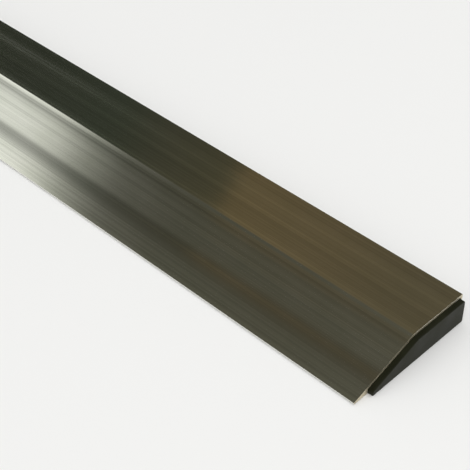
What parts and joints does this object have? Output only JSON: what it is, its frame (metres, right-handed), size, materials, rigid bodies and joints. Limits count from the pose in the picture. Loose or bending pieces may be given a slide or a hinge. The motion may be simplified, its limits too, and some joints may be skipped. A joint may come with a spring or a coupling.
{
  "type": "automatic door sweep",
  "caption": "Surface-mounted door sweep: a wedge-shaped clip-on weather cover over a plunger-driven bar that drops a rubber seal to the floor.",
  "frame": {"origin": "centre of the carrier's back face, which lies against the door", "axes": "+X along the door towards the lock side, +Y towards the edge that the seal comes out of, +Z away from the door's face"},
  "size_m": [0.9492, 0.072, 0.014],
  "materials": {
    "cover_aluminium": "mill finish with lengthways die lines, satin",
    "carrier_aluminium": "mill finish",
    "bar_aluminium": "mill finish",
    "rivet_aluminium": "satin",
    "plug_plastic": "moulded, fine matt texture",
    "nylon": "moulded, slightly translucent satin",
    "zinc_steel": "bright zinc plate",
    "spring_steel": "drawn wire, light oil",
    "brass": "machined",
    "seal_rubber": "extruded, matt"
  },
  "bodies": {
    "housing": {"carrier": "carrier_aluminium", "lock_end_plug": "plug_plastic", "hinge_end_plug": "plug_plastic", "plug_screws": "zinc_steel", "guide_bushes": "nylon", "cover_clips": "nylon", "post_screws": "zinc_steel", "spring_bracket": "zinc_steel", "bracket_rivets": "rivet_aluminium", "return_spring": "spring_steel"},
    "cover_shell": {"cover": "cover_aluminium"},
    "rail": {"push_rail": "zinc_steel", "rail_coupling": "brass", "coupling_rivets": "zinc_steel", "adjusting_stud": "zinc_steel", "spring_seat": "zinc_steel"},
    "tip": {"plunger": "nylon", "lock_nut": "zinc_steel"},
    "bar": {"drop_bar": "bar_aluminium", "cam_pins": "zinc_steel", "pin_washers": "nylon", "pin_clips": "spring_steel", "seal_strip": "seal_rubber", "seal_stops": "zinc_steel"}
  },
  "joints": [
    {"name": "plunger_push", "type": "slide", "parent": "housing", "child": "rail", "axis": [1, 0, 0], "range_m": [0, 0.012], "stiffness_N_per_m": 700, "springref_m": -0.012, "deforming": ["return_spring"]},
    {"name": "seal_drop", "type": "slide", "parent": "housing", "child": "bar", "axis": [0, 1, 0], "range_m": [0, 0.012]},
    {"name": "cover_lift", "type": "slide", "parent": "housing", "child": "cover_shell", "axis": [0, 0, 1], "range_m": [0, 0.04]},
    {"name": "plunger_adjust", "type": "slide", "parent": "rail", "child": "tip", "axis": [1, 0, 0], "range_m": [-0.004, 0.0015]}
  ],
  "couplings": [
    {"joint": "seal_drop", "follows": "plunger_push", "ratio": 1}
  ]
}
